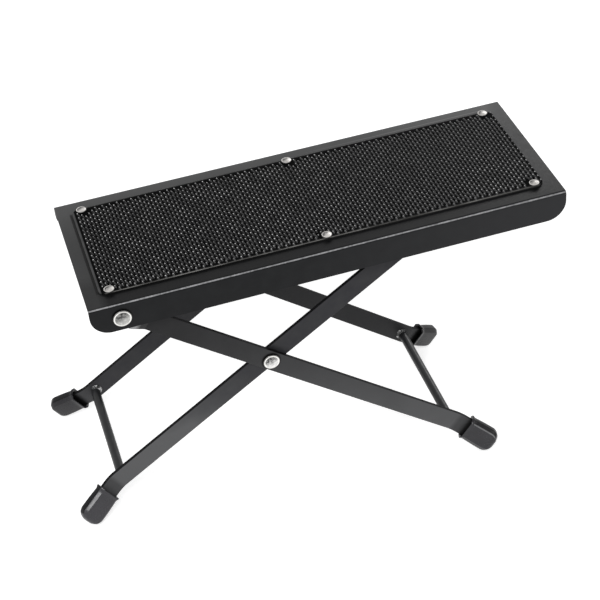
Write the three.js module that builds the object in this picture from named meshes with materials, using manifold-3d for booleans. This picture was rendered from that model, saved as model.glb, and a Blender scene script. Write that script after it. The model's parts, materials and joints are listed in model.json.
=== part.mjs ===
// Folding guitar footrest: a steel tray with a studded rubber mat, held by two crossed pairs of flat legs.
// Millimetres, +Z up, standing on z = 0. +X runs along the tray to its raised end, and the front is at -Y.
// The rear half mirrors the front half, so each front piece is drawn once and used on both sides.

import * as THREE from "three";
import { mergeVertices } from "three/addons/utils/BufferGeometryUtils.js";
import Module from "manifold-3d";

const wasm = await Module();
wasm.setup();

const degrees = Math.PI / 180;

// Tray: a channel of sheet steel, open at both ends
const trayLength = 290;
const trayWidth = 108;
const flangeDepth = 18.6;
const sheet = 1.5;
const foldRadius = 2;
const flangeCornerRadius = 12;

// Mat on the tray
const matThickness = 2;
const matEndInset = 9.1;
const matSideInset = 10.6;
const matCornerRadius = 5;
const studPitch = 11;
const studRadius = 2.4;
const studDraft = 0.4;
const studHeight = 0.8;
const studMargin = 2;

// Where the outer legs turn on the tray flanges, measured from its left end and from its top face
const pivotInset = 18.25;
const pivotDrop = 9.87;

// Leg strips
const stripWidth = 13;
const stripThickness = 2.5;
const outerLegInset = 6.35;
const outerLegSlope = 38.4;
const outerUpperArm = 106.85;
const outerRodArm = 145.2;
const innerUpperArm = 117.9;
const innerRodArm = 121;
const crossingGap = 1.2;
const joggleStart = 10;
const joggleRun = 10;
const joggleBendRadius = 4;

// Splayed foot end of each leg, measured from its lower rod
const footSplay = 23;
const splayBendRadius = 20;
const rodToSplay = 5.5;
const splayToBoot = 7.2;

// Rubber boots
const bootLength = 22.6;
const bootWidth = 16.6;
const bootThickness = 8.4;
const bootEdgeRadius = 2.4;
const bootToeRadius = 6.4;
const bootTipRadius = 3.2;
const socketDepth = 16;
const socketFit = 0.4;
const mouthDepth = 1.6;
const mouthFit = 1;

// Rods between the legs, and their welds
const rodRadius = 3;
const weldSize = 1.7;
const weldThroatShare = 0.4;
const weldGap = 0.1;

// Racks under the tray, which the upper rod rests in
const rodDrop = 12.02;
const rackInset = 8;
const rackFlange = 10;
const rackSheet = 2;
const notchPitch = 11;
const notchesAbove = 1;
const notchesBelow = 3;
const notchFlare = 20;
const toothDrop = 3.5;
const webMargin = 1.8;
const webSlope = 8;
const strapEnd = 8;

// Rivets and washers
const matRivetEndInset = 15.1;
const matRivetSideInset = 13;
const matRivetHeadRadius = 3.25;
const matRivetHeadHeight = 1.3;
const matRivetShankRadius = 1.3;
const matRivetTailRadius = 2.2;
const legRivetHeadRadius = 5.6;
const crossingRivetHeadRadius = 5.25;
const legRivetHeadHeight = 2;
const legRivetShankRadius = 3;
const legRivetTailRadius = 4.4;
const tailHeight = 0.9;
const washerRadius = 5.2;
const washerThickness = 0.8;

// Clearances
const seatGap = 0.2;
const runGap = 0.2;
const rodGap = 0.3;
const holeGap = 0.15;
const cutOverrun = 5;

// Facet counts
const arcSteps = 8;
const roundSides = 24;
const smallRoundSides = 18;
const domeSteps = 4;

const steelPaint = new THREE.MeshStandardMaterial({ color: 0x2b2d30, roughness: 0.45, metalness: 0.3 });
const matRubber = new THREE.MeshStandardMaterial({ color: 0x161617, roughness: 0.85, metalness: 0 });
const bootRubber = new THREE.MeshStandardMaterial({ color: 0x37373a, roughness: 0.6, metalness: 0 });
const nickel = new THREE.MeshStandardMaterial({ color: 0xc9c7c2, roughness: 0.3, metalness: 1 });
const washerSteel = new THREE.MeshStandardMaterial({ color: 0x8f9194, roughness: 0.4, metalness: 0.9 });

// Solids

function solidOf(geometry) {
  const bare = geometry.clone();
  bare.deleteAttribute("normal");
  bare.deleteAttribute("uv");
  const merged = mergeVertices(bare);
  const vertProperties = merged.attributes.position.array;
  const triVerts = new Uint32Array(merged.index.array);
  return new wasm.Manifold(new wasm.Mesh({ numProp: 3, vertProperties, triVerts }));
}

function geometryOf(solid) {
  const { vertProperties, triVerts } = solid.getMesh();
  const geometry = new THREE.BufferGeometry();
  geometry.setAttribute("position", new THREE.BufferAttribute(vertProperties, 3));
  geometry.setIndex(new THREE.BufferAttribute(triVerts, 1));
  const faceted = geometry.toNonIndexed();
  faceted.computeVertexNormals();
  return faceted;
}

// Extrusions, each from a shape drawn in the plane that its name gives

function extruded(shape, depth) {
  return new THREE.ExtrudeGeometry(shape, { depth, bevelEnabled: false, curveSegments: arcSteps });
}

function plateXY(shape, low, high) {
  return solidOf(extruded(shape, high - low).translate(0, 0, low));
}

function plateXZ(shape, low, high) {
  return solidOf(extruded(shape, high - low).rotateX(Math.PI / 2).translate(0, high, 0));
}

function plateYZ(shape, low, high) {
  const turn = new THREE.Matrix4().makeBasis(
    new THREE.Vector3(0, 1, 0),
    new THREE.Vector3(0, 0, 1),
    new THREE.Vector3(1, 0, 0),
  );
  return solidOf(extruded(shape, high - low).applyMatrix4(turn).translate(low, 0, 0));
}

// A rectangle whose corners have the radii given for left below, right below, right above and left above.
function rectangle(left, below, right, above, radii) {
  const [lowLeft, lowRight, highRight, highLeft] = radii;
  const shape = new THREE.Shape();
  shape.moveTo(left + lowLeft, below);
  shape.lineTo(right - lowRight, below);
  if (lowRight) shape.absarc(right - lowRight, below + lowRight, lowRight, -Math.PI / 2, 0);
  shape.lineTo(right, above - highRight);
  if (highRight) shape.absarc(right - highRight, above - highRight, highRight, 0, Math.PI / 2);
  shape.lineTo(left + highLeft, above);
  if (highLeft) shape.absarc(left + highLeft, above - highLeft, highLeft, Math.PI / 2, Math.PI);
  shape.lineTo(left, below + lowLeft);
  if (lowLeft) shape.absarc(left + lowLeft, below + lowLeft, lowLeft, Math.PI, 1.5 * Math.PI);
  return shape;
}

function even(radius) {
  return [radius, radius, radius, radius];
}

// A round bar along Y between two values of y
function barY(radius, low, high, x, z, sides = roundSides) {
  const bar = new THREE.CylinderGeometry(radius, radius, high - low, sides);
  return solidOf(bar.translate(x, (low + high) / 2, z));
}

function barZ(radius, low, high, x, y) {
  const bar = new THREE.CylinderGeometry(radius, radius, high - low, smallRoundSides);
  return solidOf(bar.rotateX(Math.PI / 2).translate(x, y, (low + high) / 2));
}

// A body turned about Y from a profile of [radius, y] points that runs upwards
function turned(points, sides = roundSides) {
  return new THREE.LatheGeometry(points.map(([radius, y]) => new THREE.Vector2(radius, y)), sides);
}

// A rivet along +Y: a low dome whose flat side is at y = 0, a shank, and a formed tail under the grip.
function rivet(headRadius, headHeight, shankRadius, tailRadius, grip, sides) {
  const dome = [];
  for (let i = 0; i <= domeSteps; i++) {
    const angle = (i / domeSteps) * (Math.PI / 2);
    dome.push([headRadius * Math.sin(angle), -headHeight * Math.cos(angle)]);
  }
  const end = grip + tailHeight;
  const tail = [[shankRadius, grip], [tailRadius, grip], [tailRadius, end], [0, end]];
  return turned([...dome, [shankRadius, 0], ...tail], sides);
}

// A flat ring about Y
function ring(inner, outer, low, high) {
  return turned([[inner, low], [outer, low], [outer, high], [inner, high], [inner, low]]);
}

// A strip's edge view: the band of even thickness along a route of [x, y] corners, each bent to a radius.
function bentBand(route, thickness, radii) {
  const points = route.map(([x, y]) => new THREE.Vector2(x, y));
  const spine = [];
  points.forEach((corner, i) => {
    if (i === 0 || i === points.length - 1) {
      const other = points[i === 0 ? 1 : i - 1];
      const along = corner.clone().sub(other).normalize().multiplyScalar(i === 0 ? -1 : 1);
      spine.push({ at: corner, along });
      return;
    }
    const before = corner.clone().sub(points[i - 1]).normalize();
    const after = points[i + 1].clone().sub(corner).normalize();
    const turn = Math.atan2(before.cross(after), before.dot(after));
    const radius = radii[i - 1] * Math.sign(turn);
    const tangent = radius * Math.tan(turn / 2);
    const start = corner.clone().addScaledVector(before, -tangent);
    const hub = start.clone().add(new THREE.Vector2(-before.y, before.x).multiplyScalar(radius));
    for (let k = 0; k <= arcSteps; k++) {
      const angle = (turn * k) / arcSteps;
      const at = start.clone().rotateAround(hub, angle);
      spine.push({ at, along: before.clone().rotateAround(new THREE.Vector2(), angle) });
    }
  });
  const side = (offset) => spine.map(({ at, along }) =>
    at.clone().add(new THREE.Vector2(-along.y, along.x).multiplyScalar(offset)));
  return new THREE.Shape([...side(thickness / 2), ...side(-thickness / 2).reverse()]);
}

// Places shared by the pieces. The tray frame has its origin on the pivot axis, with z square to the tray.

const deckTop = pivotDrop;
const deckUnder = deckTop - sheet;
const flangeBottom = deckTop - flangeDepth;
const trayLeft = -pivotInset;
const trayRight = trayLeft + trayLength;
const flangeInside = -trayWidth / 2 + sheet;

const crossing = new THREE.Vector2(outerUpperArm, 0)
  .rotateAround(new THREE.Vector2(), -outerLegSlope * degrees);
const rodZ = deckTop - rodDrop;
const innerLegSlope = Math.asin((rodZ - crossing.y) / innerUpperArm);
const rodX = crossing.x + innerUpperArm * Math.cos(innerLegSlope);

const outerLegFace = -trayWidth / 2 + outerLegInset;
const outerLegMiddle = outerLegFace + stripThickness / 2;
const outerLegBack = outerLegFace + stripThickness;
const innerLegFace = outerLegBack + crossingGap;
const innerLegMiddle = innerLegFace + stripThickness / 2;
const innerLegBack = innerLegFace + stripThickness;
const pivotLegMiddle = flangeInside + runGap + stripThickness / 2;
const pivotLegBack = pivotLegMiddle + stripThickness / 2;

const matRivetY = -trayWidth / 2 + matRivetSideInset;
const matRivetPlaces = {
  left: trayLeft + matRivetEndInset,
  middle: (trayLeft + trayRight) / 2,
  right: trayRight - matRivetEndInset,
};
const matUnder = deckTop + seatGap;
const matTop = matUnder + matThickness;
const matGround = matTop - studHeight;

// Builds a mesh on both sides of the middle plane from the front piece's geometry.
function addPair(group, name, geometry, material) {
  for (const [side, mirror] of [["front", 1], ["rear", -1]]) {
    const mesh = new THREE.Mesh(geometry, material);
    mesh.name = `${name}_${side}`;
    mesh.scale.y = mirror;
    group.add(mesh);
  }
}

function addOne(group, name, geometry, material) {
  const mesh = new THREE.Mesh(geometry, material);
  mesh.name = name;
  group.add(mesh);
}

// Tray and mat

function traySection() {
  const half = trayWidth / 2;
  const foldInside = foldRadius - sheet;
  const section = rectangle(-half, flangeBottom, half, deckTop, [0, 0, foldRadius, foldRadius]);
  const hollow = rectangle(
    -half + sheet, flangeBottom - cutOverrun, half - sheet, deckUnder, [0, 0, foldInside, foldInside],
  );
  return plateYZ(section, trayLeft, trayRight)
    .subtract(plateYZ(hollow, trayLeft - cutOverrun, trayRight + cutOverrun));
}

function trayGeometry() {
  const corners = [flangeCornerRadius, flangeCornerRadius, 0, 0];
  const sideView = rectangle(trayLeft, flangeBottom, trayRight, deckTop + cutOverrun, corners);
  const half = trayWidth / 2 + cutOverrun;
  let tray = traySection().intersect(plateXZ(sideView, -half, half));
  tray = tray.subtract(barY(legRivetShankRadius + holeGap, -half, half, 0, 0));
  for (const x of Object.values(matRivetPlaces)) {
    for (const y of [matRivetY, -matRivetY]) {
      const hole = barZ(matRivetShankRadius + holeGap, deckUnder - cutOverrun, deckTop + cutOverrun, x, y);
      tray = tray.subtract(hole);
    }
  }
  return geometryOf(tray);
}

// Tapered square studs in staggered rows, left out beside the mat's edges and round its rivets
function matStuds() {
  const step = studPitch * Math.SQRT1_2;
  const rows = Math.floor((trayWidth / 2 - matSideInset - studMargin - studRadius) / step);
  const columns = Math.floor((trayLength / 2 - matEndInset - studMargin - studRadius) / step);
  const clearance = matRivetHeadRadius + studMargin + studRadius;
  const studs = [];
  for (let row = -rows; row <= rows; row++) {
    for (let column = -columns; column <= columns; column++) {
      const x = matRivetPlaces.middle + column * step;
      const y = row * step;
      const nearRivet = Object.values(matRivetPlaces).some(
        (rivetX) => Math.hypot(x - rivetX, Math.abs(y) + matRivetY) < clearance,
      );
      if ((row + column) % 2 || nearRivet) continue;
      const ends = [studRadius - studDraft, studRadius + studDraft];
      const stud = new THREE.CylinderGeometry(...ends, 2 * studHeight, 4);
      studs.push(solidOf(stud.rotateX(Math.PI / 2).translate(x, y, matGround)));
    }
  }
  return studs;
}

function matGeometry() {
  const half = trayWidth / 2 - matSideInset;
  const outline = rectangle(
    trayLeft + matEndInset, -half, trayRight - matEndInset, half, even(matCornerRadius),
  );
  let mat = plateXY(outline, matUnder, matGround);
  for (const stud of matStuds()) mat = mat.add(stud);
  for (const x of Object.values(matRivetPlaces)) {
    for (const y of [matRivetY, -matRivetY]) {
      const hole = barZ(matRivetShankRadius + holeGap, matUnder - cutOverrun, matTop + cutOverrun, x, y);
      mat = mat.subtract(hole);
    }
  }
  return geometryOf(mat);
}

// Racks: an angle strip with a row of round notches along its web

const notchRadius = rodRadius + rodGap;
const notchFlank = notchFlare * degrees;
const mouthHalf = notchRadius / Math.cos(notchFlank) + toothDrop * Math.tan(notchFlank);
const toothTip = rodZ - toothDrop;
const rackTop = deckUnder - seatGap;
const rackUnder = rackTop - rackSheet;
const webLeft = rodX - notchesAbove * notchPitch - mouthHalf - webMargin;
const webRight = rodX + notchesBelow * notchPitch + mouthHalf + webMargin;
const strapLeft = Math.min(matRivetPlaces.middle - strapEnd, webLeft - webSlope);
const strapRight = Math.max(matRivetPlaces.right + strapEnd, webRight + webSlope);

function webShape() {
  const web = new THREE.Shape();
  web.moveTo(webLeft - webSlope, rackTop);
  web.lineTo(webLeft, toothTip);
  for (let k = -notchesAbove; k <= notchesBelow; k++) {
    const x = rodX + k * notchPitch;
    web.lineTo(x - mouthHalf, toothTip);
    web.absarc(x, rodZ, notchRadius, Math.PI - notchFlank, notchFlank, true);
    web.lineTo(x + mouthHalf, toothTip);
  }
  web.lineTo(webRight, toothTip);
  web.lineTo(webRight + webSlope, rackTop);
  return web;
}

function rackGeometry() {
  const outside = -trayWidth / 2 + rackInset;
  const inside = outside + rackFlange;
  const strapRadius = rackFlange / 2 - rackSheet;
  const strap = rectangle(strapLeft, outside, strapRight, inside, [strapRadius, strapRadius, 0, 0]);
  let rack = plateXY(strap, rackUnder, rackTop).add(plateXZ(webShape(), inside - rackSheet, inside));
  const holeRadius = matRivetShankRadius + holeGap;
  for (const x of [matRivetPlaces.middle, matRivetPlaces.right]) {
    rack = rack.subtract(barZ(holeRadius, rackUnder - cutOverrun, rackTop + cutOverrun, x, matRivetY));
  }
  return geometryOf(rack);
}

// Legs: each frame has its origin at the crossing rivet and its x axis running down to the foot.

function strip(route, radii, outline, holes) {
  const band = plateXY(bentBand(route, stripThickness, radii), -stripWidth, stripWidth);
  let leg = band.intersect(plateXZ(outline, -trayWidth, trayWidth));
  for (const x of holes) {
    leg = leg.subtract(barY(legRivetShankRadius + holeGap, -trayWidth, trayWidth, x, 0));
  }
  return geometryOf(leg);
}

// The flat view of a strip: round at its upper end, square with small corners inside the boot
function stripOutline(upperEnd, lowerEnd) {
  const half = stripWidth / 2;
  const corner = bootToeRadius / 2;
  return rectangle(upperEnd - half, -half, lowerEnd, half, [half, corner, corner, half]);
}

// The splayed end, from the corner of its bend to a distance along it
function splayed(rodArm, middle, distance) {
  const angle = footSplay * degrees;
  return [rodArm + rodToSplay + distance * Math.cos(angle), middle - distance * Math.sin(angle)];
}

const stripInBoot = splayToBoot + socketDepth - socketFit;

function outerLegGeometry() {
  const seatEnd = -outerUpperArm + joggleStart;
  const route = [
    [-outerUpperArm - stripWidth, pivotLegMiddle],
    [seatEnd, pivotLegMiddle],
    [seatEnd + joggleRun, outerLegMiddle],
    [outerRodArm + rodToSplay, outerLegMiddle],
    splayed(outerRodArm, outerLegMiddle, stripInBoot),
  ];
  const radii = [joggleBendRadius, joggleBendRadius, splayBendRadius];
  const [lowerEnd] = route.at(-1);
  return strip(route, radii, stripOutline(-outerUpperArm, lowerEnd), [-outerUpperArm, 0]);
}

function innerLegGeometry() {
  const route = [
    [-innerUpperArm - stripWidth, innerLegMiddle],
    [innerRodArm + rodToSplay, innerLegMiddle],
    splayed(innerRodArm, innerLegMiddle, stripInBoot),
  ];
  const [lowerEnd] = route.at(-1);
  return strip(route, [splayBendRadius], stripOutline(-innerUpperArm, lowerEnd), [0]);
}

function rodGeometry(x, legBack) {
  const end = -legBack - weldGap;
  return geometryOf(barY(rodRadius, -end, end, x, 0, smallRoundSides));
}

// A fillet weld round the upper half of a rod's end, against the leg's inner face
function weldGeometry(x, legBack) {
  const inner = rodRadius + weldGap;
  const outer = inner + weldSize;
  const throat = inner + weldSize * weldThroatShare;
  const section = [[inner, 0], [outer, 0], [throat, throat - inner], [inner, weldSize], [inner, 0]];
  const upperHalf = plateXZ(rectangle(-outer, -outer, 0, outer, even(0)), -outer, outer);
  const bead = solidOf(turned(section, smallRoundSides)).intersect(upperHalf);
  return geometryOf(bead).translate(x, legBack + weldGap, 0);
}

function bootGeometry(rodArm, middle) {
  const halfWidth = bootWidth / 2;
  const halfThickness = bootThickness / 2;
  const toes = [0, bootToeRadius, bootToeRadius, 0];
  const tips = [0, bootTipRadius, bootTipRadius, 0];
  const faceView = rectangle(0, -halfWidth, bootLength, halfWidth, toes);
  const edgeView = rectangle(0, -halfThickness, bootLength, halfThickness, tips);
  const section = rectangle(-halfThickness, -halfWidth, halfThickness, halfWidth, even(bootEdgeRadius));
  const pocket = (depth, fit) => {
    const y = stripThickness / 2 + fit;
    const z = stripWidth / 2 + fit;
    return plateYZ(rectangle(-y, -z, y, z, even(0)), -cutOverrun, depth);
  };
  const boot = plateXZ(faceView, -halfThickness, halfThickness)
    .intersect(plateXY(edgeView, -halfWidth, halfWidth))
    .intersect(plateYZ(section, 0, bootLength))
    .subtract(pocket(socketDepth, socketFit))
    .subtract(pocket(mouthDepth, mouthFit));
  const [x, y] = splayed(rodArm, middle, splayToBoot);
  return geometryOf(boot).rotateZ(-footSplay * degrees).translate(x, y, 0);
}

function washerGeometry(low) {
  return ring(legRivetShankRadius + holeGap, washerRadius, low, low + washerThickness);
}

function legRivetGeometry(headRadius, face, grip) {
  const shank = legRivetShankRadius;
  return rivet(headRadius, legRivetHeadHeight, shank, legRivetTailRadius, grip, roundSides)
    .translate(0, face, 0);
}

function outerLegs() {
  const group = new THREE.Group();
  group.position.set(crossing.x, 0, crossing.y);
  group.rotation.y = outerLegSlope * degrees;
  addPair(group, "outer_leg", outerLegGeometry(), steelPaint);
  addOne(group, "outer_lower_rod", rodGeometry(outerRodArm, outerLegBack), steelPaint);
  addPair(group, "outer_rod_weld", weldGeometry(outerRodArm, outerLegBack), steelPaint);
  addPair(group, "right_boot", bootGeometry(outerRodArm, outerLegMiddle), bootRubber);
  addPair(group, "crossing_washer", washerGeometry(outerLegBack + runGap), washerSteel);
  const face = outerLegFace - seatGap;
  const grip = innerLegBack + runGap - face;
  addPair(group, "crossing_rivet", legRivetGeometry(crossingRivetHeadRadius, face, grip), nickel);
  return group;
}

function innerLegs() {
  const group = new THREE.Group();
  group.position.set(crossing.x, 0, crossing.y);
  group.rotation.y = Math.PI - innerLegSlope;
  addPair(group, "inner_leg", innerLegGeometry(), steelPaint);
  addOne(group, "inner_lower_rod", rodGeometry(innerRodArm, innerLegBack), steelPaint);
  addPair(group, "inner_rod_weld", weldGeometry(innerRodArm, innerLegBack), steelPaint);
  addOne(group, "upper_rod", rodGeometry(-innerUpperArm, innerLegBack), steelPaint);
  addPair(group, "upper_rod_weld", weldGeometry(-innerUpperArm, innerLegBack), steelPaint);
  addPair(group, "left_boot", bootGeometry(innerRodArm, innerLegMiddle), bootRubber);
  return group;
}

function platform() {
  const group = new THREE.Group();
  addOne(group, "tray", trayGeometry(), steelPaint);
  addOne(group, "mat", matGeometry(), matRubber);
  addPair(group, "rack", rackGeometry(), steelPaint);
  const face = -trayWidth / 2 - seatGap;
  const washerLow = pivotLegBack + runGap;
  const grip = washerLow + washerThickness + seatGap - face;
  addPair(group, "pivot_rivet", legRivetGeometry(legRivetHeadRadius, face, grip), nickel);
  addPair(group, "pivot_washer", washerGeometry(washerLow), washerSteel);
  for (const [place, x] of Object.entries(matRivetPlaces)) {
    const seat = place === "left" ? deckUnder : rackUnder;
    const head = matGround + seatGap;
    const body = rivet(
      matRivetHeadRadius, matRivetHeadHeight, matRivetShankRadius, matRivetTailRadius,
      head - seat + seatGap, smallRoundSides,
    );
    const upright = body.rotateX(-Math.PI / 2).translate(x, matRivetY, head);
    addPair(group, `mat_rivet_${place}`, upright, nickel);
  }
  return group;
}

// Turns the whole so that its boots stand on one level, and puts the middle of its base at the origin.
function stood(...groups) {
  const footrest = new THREE.Group();
  footrest.add(...groups);
  footrest.updateMatrixWorld(true);
  const points = { left: [], right: [] };
  footrest.traverse((piece) => {
    const [side, kind] = piece.name.split("_");
    if (kind !== "boot") return;
    const position = piece.geometry.getAttribute("position");
    for (let i = 0; i < position.count; i++) {
      const point = new THREE.Vector3().fromBufferAttribute(position, i);
      points[side].push(point.applyMatrix4(piece.matrixWorld));
    }
  });
  let tilt = 0;
  const lowest = (side) => {
    const height = (p) => p.z * Math.cos(tilt) - p.x * Math.sin(tilt);
    return points[side].reduce((a, b) => (height(b) < height(a) ? b : a));
  };
  for (let round = 0; round < arcSteps; round++) {
    const left = lowest("left");
    const right = lowest("right");
    tilt = Math.atan2(right.z - left.z, right.x - left.x);
  }
  footrest.rotation.y = tilt;
  footrest.updateMatrixWorld(true);
  const box = new THREE.Box3().setFromObject(footrest, true);
  const middle = box.getCenter(new THREE.Vector3());
  footrest.position.set(-middle.x, 0, -box.min.z);
  return footrest;
}

export default stood(outerLegs(), platform(), innerLegs());
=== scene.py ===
"""Looks of a folding guitar footrest.

Painted steel tray and legs, a studded rubber mat, rubber boots and nickel rivets. Every piece is placed
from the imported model, in metres. Sizes below are in millimetres, which MM turns into metres, and angles
are in degrees. Colours are linear.
"""

import json
import math
import random

import bmesh
import bpy
from mathutils import Matrix, Vector


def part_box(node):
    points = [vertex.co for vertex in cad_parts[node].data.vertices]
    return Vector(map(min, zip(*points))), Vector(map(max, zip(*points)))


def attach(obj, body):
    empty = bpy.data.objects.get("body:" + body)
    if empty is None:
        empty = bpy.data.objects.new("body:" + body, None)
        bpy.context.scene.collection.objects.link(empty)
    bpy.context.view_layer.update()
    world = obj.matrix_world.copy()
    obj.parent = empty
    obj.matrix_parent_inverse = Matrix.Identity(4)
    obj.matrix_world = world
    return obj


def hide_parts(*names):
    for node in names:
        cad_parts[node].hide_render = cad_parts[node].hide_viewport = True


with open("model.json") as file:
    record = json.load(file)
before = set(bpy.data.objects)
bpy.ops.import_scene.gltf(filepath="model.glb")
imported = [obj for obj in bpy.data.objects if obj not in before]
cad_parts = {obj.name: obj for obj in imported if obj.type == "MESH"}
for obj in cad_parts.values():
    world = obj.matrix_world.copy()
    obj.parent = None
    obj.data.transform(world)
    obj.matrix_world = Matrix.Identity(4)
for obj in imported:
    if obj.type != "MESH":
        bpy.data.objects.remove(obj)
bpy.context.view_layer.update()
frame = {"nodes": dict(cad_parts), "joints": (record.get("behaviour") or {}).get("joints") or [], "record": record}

MM = 0.001
SIDES = ("front", "rear")
MAT_RIVET_SPOTS = ("left", "middle", "right")

# Meshes: the angle up to which corners are shaded round, how near points and planes are joined, and the
# radius that a turned body has where it meets its axis
SMOOTH_ANGLE = 35
MERGE_REACH = 0.002
FLAT_ANGLE = 0.5
POLE_RADIUS = 0.001

# Steel: splay of the feet, broken edges of sheet, strip, bar and washer, and how far a face has to lean
# to count as a strip's cut edge, from 0 to 1
FOOT_SPLAY = 23
EDGE_BEVEL = 0.3
BEVEL_SEGMENTS = 2
BEVEL_ANGLE = 40
WASHER_BEVEL = 0.15
CUT_EDGE_LEAN = 0.5
ROD_CHAMFER = 0.2
ROD_SIDES = 40

# Mat and studs. A stud's foot, waist and tip have a half width, a reach to the front and a tail. The
# knee, and the end and the band of the painted highlight on the long edges, are shares of the soft edge
MAT_CORNER_RADIUS = 5
MAT_CORNER_STEPS = 8
MAT_EDGE_SOFT = 0.35
MAT_EDGE_KNEE = 0.3
MAT_HIGHLIGHT_END = 3
MAT_HIGHLIGHT_BAND = (0.9, 0.01)
STUD_PITCH_X = 4.5
STUD_PITCH_Y = 4.4
STUD_FOOT = (0.68, 1.4, 4.2)
STUD_WAIST = (0.48, 1.2, 3.2)
STUD_TIP = (0.32, 0.88, 0.1)
STUD_WAIST_RISE = 0.5
STUD_TIP_RISE = 0.93
STUD_TAILS = (1, 0.35, 0.04)
STUD_SCALES = (0.9, 1.0)
STUD_SEED = 4
STUD_SIDES = 8
STUD_SMOOTH_ANGLE = 70
STUD_TURN = 199
STUD_HEIGHT = 0.8
STUD_SINK = 0.3
STUD_RIVET_GAP = 3.8
STUD_EDGE_GAP = 0.1
STUD_END_GAPS = (2.4, 0.8)
STUD_BACK_GAP = 1.2

# Boots. The neck is given as shares of the length with the trim of the sides there, and the rim's end as
# shares of its radius and its bulge. Leans are from 0 to 1
BOOT_EDGE_CUT = 2.1
BOOT_EDGE_SOFT = 1.2
BOOT_EDGE_POINTS = 4
BOOT_EDGE_LIMIT = 0.999
BOOT_NECK = ((0.1, 0.22), (0.17, 0.22), (0.3, 0.12), (0.45, 0.03), (0.6, 0))
BOOT_TOE_RADIUS = 6.4
BOOT_TOE_STEPS = 14
BOOT_TIP_RADIUS = 3.2
BOOT_RIM_RADIUS = 0.5
BOOT_RIM_STEPS = 6
BOOT_RIM_BULGE = 0.25
BOOT_RIM_END = (2.4, 0.5)
BOOT_MOUTH_WALL = 0.9
BOOT_MOUTH_DEPTH = 2.6
BOOT_MOUTH_TAPER = 1.5
BOOT_MOUTH_DRAFT = 0.1
BOOT_SCOOP = 1.5
BOOT_SCOOP_SIDES = (3.6, 1.8)
BOOT_SCOOP_FADE = 6
BOOT_SOCKET_DEPTH = 16
BOOT_SOCKET_HALF = (1.75, 6.95)
BOOT_SMOOTH_ANGLE = 60
BOOT_SIDE_LEAN = 0.8
BOOT_SLANT_LEAN = 0.65
BOOT_EDGE_LEAN = 0.1
BOOT_TOE_LEAN = 0.3

# Welds: the arc, and shares of the bead's size for its ripples and its section
WELD_ARC = (80, 280)
WELD_RINGS = 64
WELD_STEPS = 6
WELD_RIPPLES = 9
WELD_RIPPLE = (0.82, 0.18)
WELD_SECTION = (0.72, 0.28)
WELD_TAPER = 8
WELD_END = 0.02

# Rivets: heights of head and tail, radius of the shank, and the side of the face that gets a painted dark
# reflection. The tail's end and the dome's foot are shares of the tail and of the rim
RIVETS = {
    "crossing": (2, 0.9, 3, (-0.4, 0, 0.9)),
    "pivot": (2, 0.9, 3, (-0.4, 0, 0.9)),
    "mat": (1.3, 0.9, 1.3, (-0.5, 0.85, 0)),
}
RIVET_SIDES = 48
RIVET_STEPS = 8
RIVET_RIM_SHARE = 0.3
RIVET_DOME_FOOT = (0.35, 1.8)
RIVET_TAIL_SHARE = 0.75
RIVET_TAIL_END = (0.8, 0.3)

# Where the tray's finish and its painted light and shade change, in its frame: from its top, its folds, the
# mat or the frame's origin. Each line behind the mat has a distance from it and a grey
TRAY_TOP = (-0.3, -0.05)
TRAY_LIGHTER = (90, 290)
DUST_AND_LIGHT_FROM_FRONT = (-46, -22)
DUST_AND_LIGHT_FROM_LEFT = (-11, -5)
DUST_AND_LIGHT_TO_RIGHT = (228, 262)
SHEEN_TO_BACK = (12, 50)
SHEEN_TO_RIGHT = (180, 260)
SHEEN_END = (262, 268)
LINES_START = (130, 200)
LINES_END = (256, 264)
LINE_WIDTH = (0.15, 0.5)
BACK_LINES = ((1.2, 0.3), (2.3, 0.06), (3.6, 0.19))
DARK_LINE_START = (-1.8, -1.3)
DARK_LINE_END = (1, 2)
DARK_LINE_SIDES = (40, 42)
FOLD_WEAR_AND_HIGHLIGHT = (-1.26, -1.19)
FOLD_WANDER = 0.03

# Where the finish of legs and welds changes, with its painted light and shade: heights, and distances from
# the boot's mouth, from the pivot and from the rod's middle
DUST_AND_LIGHT_HEIGHTS = (20, 150)
DUST_AND_LIGHT_WANDER = 8
SPLAY_SHADE = (-9.5, -6.5)
MOUTH_SHADE_REACH = (-5.5, -0.4)
MOUTH_WANDER = 0.3
JOGGLE_HIGHLIGHT_START = (4.5, 9.5)
JOGGLE_HIGHLIGHT_END = (12.5, 16)
WELD_FOOT_SIDE = (-2.4, -1.2)

# Painted shade round rivets: radius of the head, and how far past it the shade fades
SHADE_RING_RADIUS = {"pivot": 5.6, "crossing": 5.25}
SHADE_RING_FADE = (0.4, 1.2)

# Where the mat's finish changes: from its edges, its outer studs or the frame's origin
MAT_END_RIM = (-1.4, -0.9)
MAT_BACK_RIM = (0, 0.2)
MAT_FRONT = (0.6, 2)
MAT_FRONT_RIGHT = (50, 250)
FLANKS_RIGHT = (90, 240)
FLANKS_FRONT = (-42, -36)
TIPS_RIGHT = (100, 200)
TIPS_CORNER_X = (205, 235)
TIPS_CORNER_Y = (-15, 10)

# Legs: lightness of the coat, lighter on the inner legs as painted light; the power by which dust and painted
# light fade upwards; the share of dust and painted light, lower on the rear legs as painted shade; and the
# share of painted shade where the leg enters its boot
LEG_FINISH = {
    "outer_leg_front": {"coat": 0.007, "fade": 1.3, "dust_and_light": 1.0, "mouth_shade": 0.95},
    "outer_leg_rear": {"coat": 0.007, "fade": 1.3, "dust_and_light": 0.3, "mouth_shade": 0.95},
    "inner_leg_front": {"coat": 0.025, "fade": 4.4, "dust_and_light": 1.35, "mouth_shade": 0.4},
    "inner_leg_rear": {"coat": 0.025, "fade": 4.4, "dust_and_light": 0.7, "mouth_shade": 0.95},
}

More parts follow.
